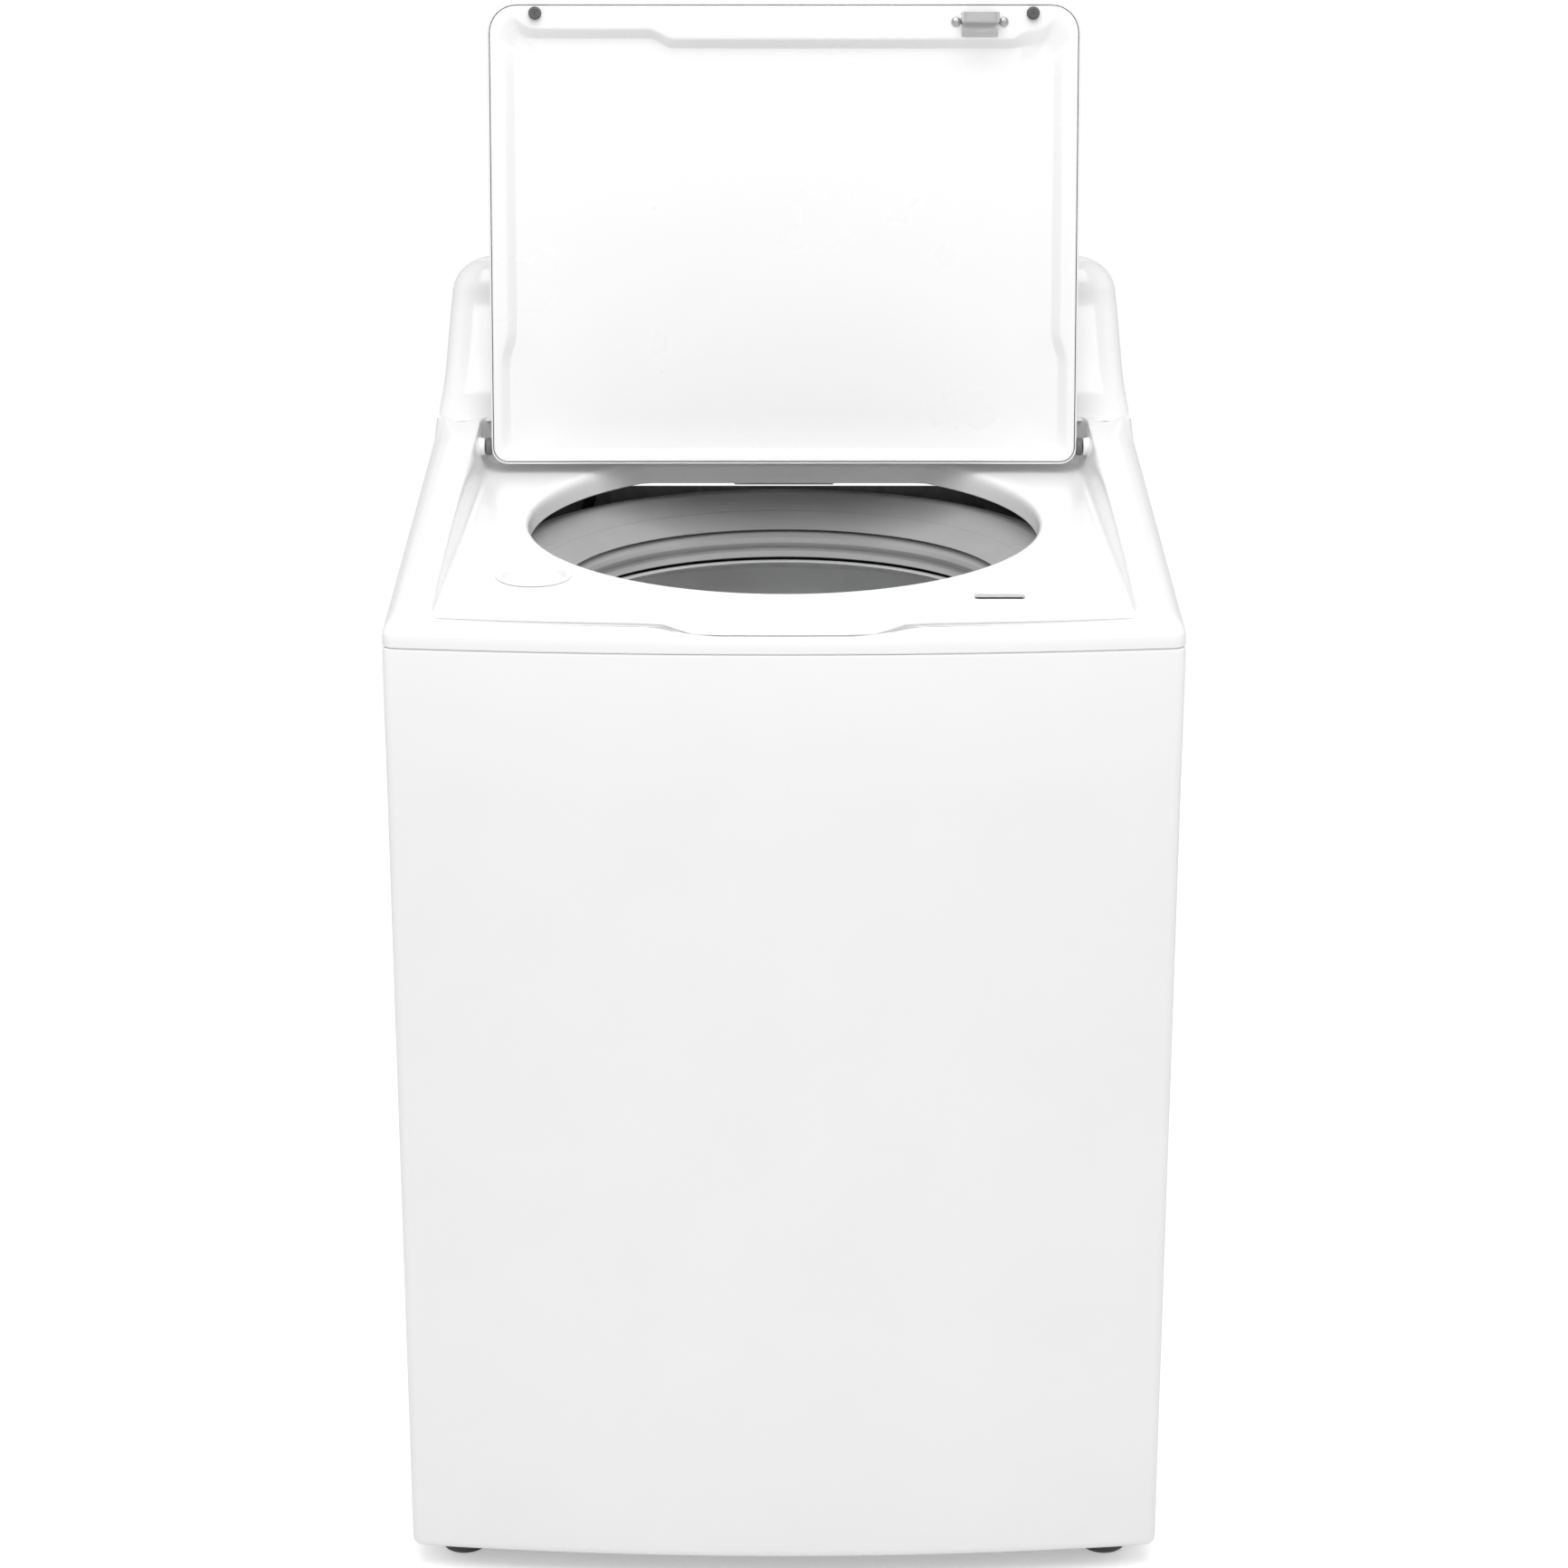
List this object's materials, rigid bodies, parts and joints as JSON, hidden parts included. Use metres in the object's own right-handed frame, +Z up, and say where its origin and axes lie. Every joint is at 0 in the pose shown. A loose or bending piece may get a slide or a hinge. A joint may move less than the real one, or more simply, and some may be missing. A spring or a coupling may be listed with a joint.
{
  "type": "top load washing machine",
  "caption": "Upright white washing machine with a bowed front, a lid hinged at the rear over a round tub opening, and a raised control console behind it.",
  "frame": {"origin": "on the floor, under the middle of the box that holds the machine with its lid open", "axes": "+Z up, the front faces -Y, +X is to the right seen from the front"},
  "size_m": [0.686, 0.686, 1.3749],
  "materials": {
    "cabinet_wrap": "gloss white enamel",
    "rear_panel": "galvanised",
    "base_frame": "galvanised",
    "top_cover": "gloss white",
    "bleach_dispenser": "gloss white",
    "lid_skin": "gloss white enamel",
    "lid_liner": "gloss white",
    "lid_strike": "stainless",
    "strike_screw_left": "stainless",
    "strike_screw_right": "stainless",
    "lid_bumper_left": "matt grey",
    "lid_bumper_right": "matt grey",
    "hinge_pin_left": "dark grey",
    "hinge_pin_right": "dark grey",
    "lid_lock_housing": "black",
    "lid_lock_bolt": "stainless",
    "console_shell": "gloss white",
    "console_rear_cover": "galvanised",
    "control_fascia": "satin grey",
    "control_board": "circuit board",
    "pressure_sensor": "white",
    "cycle_knob": "satin grey",
    "load_size_knob": "satin grey",
    "water_temperature_knob": "satin grey",
    "start_button": "satin grey",
    "outer_tub": "grey moulding",
    "tub_cover": "grey moulding",
    "gearcase": "cast",
    "drive_motor": "dark enamel",
    "drive_belt": "black",
    "drain_pump": "black",
    "basket_drum": "stainless",
    "balance_ring": "grey moulding",
    "basket_hub": "white moulding",
    "agitator": "white moulding",
    "auger": "white moulding",
    "drive_shaft": "ground steel",
    "drive_pulley": "cast",
    "softener_cup": "white moulding",
    "motor_pulley": "turned steel",
    "inlet_valve": "white moulding",
    "fill_hose": "black",
    "fill_spout": "white moulding",
    "drain_hose": "black",
    "drain_port": "black",
    "power_cord_gland": "black",
    "suspension_rail_left": "galvanised",
    "suspension_rail_right": "galvanised",
    "foot_front_left": "matt grey",
    "suspension_rod_front_left": "galvanised",
    "suspension_spring_front_left": "spring steel",
    "foot_front_right": "matt grey",
    "suspension_rod_front_right": "galvanised",
    "suspension_spring_front_right": "spring steel",
    "foot_rear_left": "matt grey",
    "suspension_rod_rear_left": "galvanised",
    "suspension_spring_rear_left": "spring steel",
    "foot_rear_right": "matt grey",
    "suspension_rod_rear_right": "galvanised",
    "suspension_spring_rear_right": "spring steel"
  },
  "bodies": {
    "cabinet": {"cabinet_wrap": "cabinet_wrap", "rear_panel": "rear_panel", "base_frame": "base_frame", "top_cover": "top_cover", "bleach_dispenser": "bleach_dispenser", "lid_lock_housing": "lid_lock_housing", "console_shell": "console_shell", "console_rear_cover": "console_rear_cover", "control_fascia": "control_fascia", "control_board": "control_board", "pressure_sensor": "pressure_sensor", "inlet_valve": "inlet_valve", "fill_hose": "fill_hose", "fill_spout": "fill_spout", "drain_hose": "drain_hose", "drain_port": "drain_port", "power_cord_gland": "power_cord_gland", "suspension_rail_left": "suspension_rail_left", "suspension_rail_right": "suspension_rail_right", "suspension_rod_front_left": "suspension_rod_front_left", "suspension_rod_front_right": "suspension_rod_front_right", "suspension_rod_rear_left": "suspension_rod_rear_left", "suspension_rod_rear_right": "suspension_rod_rear_right", "suspension_spring_front_left": "suspension_spring_front_left", "suspension_spring_front_right": "suspension_spring_front_right", "suspension_spring_rear_left": "suspension_spring_rear_left", "suspension_spring_rear_right": "suspension_spring_rear_right"},
    "lid": {"lid_skin": "lid_skin", "lid_liner": "lid_liner", "lid_strike": "lid_strike", "strike_screw_left": "strike_screw_left", "strike_screw_right": "strike_screw_right", "lid_bumper_left": "lid_bumper_left", "lid_bumper_right": "lid_bumper_right", "hinge_pin_left": "hinge_pin_left", "hinge_pin_right": "hinge_pin_right"},
    "lock_bolt": {"lid_lock_bolt": "lid_lock_bolt"},
    "cycle_knob": {"cycle_knob": "cycle_knob"},
    "load_size_knob": {"load_size_knob": "load_size_knob"},
    "water_temperature_knob": {"water_temperature_knob": "water_temperature_knob"},
    "start_button": {"start_button": "start_button"},
    "tub": {"outer_tub": "outer_tub", "tub_cover": "tub_cover", "gearcase": "gearcase", "drive_motor": "drive_motor", "drive_belt": "drive_belt", "drain_pump": "drain_pump"},
    "basket": {"basket_drum": "basket_drum", "balance_ring": "balance_ring", "basket_hub": "basket_hub"},
    "agitator": {"agitator": "agitator", "drive_shaft": "drive_shaft", "drive_pulley": "drive_pulley"},
    "auger": {"auger": "auger"},
    "softener_cup": {"softener_cup": "softener_cup"},
    "motor_rotor": {"motor_pulley": "motor_pulley"},
    "foot_front_left": {"foot_front_left": "foot_front_left"},
    "foot_front_right": {"foot_front_right": "foot_front_right"},
    "foot_rear_left": {"foot_rear_left": "foot_rear_left"},
    "foot_rear_right": {"foot_rear_right": "foot_rear_right"}
  },
  "joints": [
    {"name": "lid_hinge", "type": "hinge", "parent": "cabinet", "child": "lid", "pos_m": [0, 0.169, 0.956], "axis": [1, 0, 0], "range_deg": [0, 104]},
    {"name": "lock_bolt_slide", "type": "slide", "parent": "cabinet", "child": "lock_bolt", "axis": [0, 1, 0], "range_m": [0, 0.017], "stiffness_N_per_m": 150},
    {"name": "cycle_knob_turn", "type": "hinge", "parent": "cabinet", "child": "cycle_knob", "pos_m": [0.095, 0.265, 1.046], "axis": [0, -0.9397, 0.342], "continuous": true},
    {"name": "load_size_knob_turn", "type": "hinge", "parent": "cabinet", "child": "load_size_knob", "pos_m": [-0.2, 0.265, 1.046], "axis": [0, -0.9397, 0.342], "range_deg": [-135, 135]},
    {"name": "water_temperature_knob_turn", "type": "hinge", "parent": "cabinet", "child": "water_temperature_knob", "pos_m": [-0.11, 0.265, 1.046], "axis": [0, -0.9397, 0.342], "range_deg": [-135, 135]},
    {"name": "start_button_press", "type": "slide", "parent": "cabinet", "child": "start_button", "axis": [0, 0.9397, -0.342], "range_m": [0, 0.002], "stiffness_N_per_m": 400},
    {"name": "tub_bounce", "type": "slide", "parent": "cabinet", "child": "tub", "axis": [0, 0, 1], "range_m": [-0.02, 0.001], "stiffness_N_per_m": 12000, "springref_m": 0.03008, "deforming": ["suspension_spring_front_left", "suspension_spring_front_right", "suspension_spring_rear_left", "suspension_spring_rear_right"]},
    {"name": "basket_spin", "type": "hinge", "parent": "tub", "child": "basket", "pos_m": [0, 0.014, 0.5], "axis": [0, 0, 1], "continuous": true},
    {"name": "agitator_spin", "type": "hinge", "parent": "tub", "child": "agitator", "pos_m": [0, 0.014, 0.5], "axis": [0, 0, 1], "continuous": true},
    {"name": "auger_turn", "type": "hinge", "parent": "agitator", "child": "auger", "pos_m": [0, 0.014, 0.65], "axis": [0, 0, 1], "continuous": true},
    {"name": "softener_cup_lift", "type": "slide", "parent": "agitator", "child": "softener_cup", "axis": [0, 0, 1], "range_m": [0, 0.12]},
    {"name": "motor_spin", "type": "hinge", "parent": "tub", "child": "motor_rotor", "pos_m": [0, 0.179, 0.2], "axis": [0, 0, 1], "continuous": true},
    {"name": "foot_front_left_screw", "type": "slide", "parent": "cabinet", "child": "foot_front_left", "axis": [0, 0, 1], "range_m": [-0.015, 0]},
    {"name": "foot_front_right_screw", "type": "slide", "parent": "cabinet", "child": "foot_front_right", "axis": [0, 0, 1], "range_m": [-0.015, 0]},
    {"name": "foot_rear_left_screw", "type": "slide", "parent": "cabinet", "child": "foot_rear_left", "axis": [0, 0, 1], "range_m": [-0.015, 0]},
    {"name": "foot_rear_right_screw", "type": "slide", "parent": "cabinet", "child": "foot_rear_right", "axis": [0, 0, 1], "range_m": [-0.015, 0]}
  ],
  "couplings": [
    {"joint": "motor_spin", "follows": "agitator_spin", "ratio": 4.25}
  ]
}
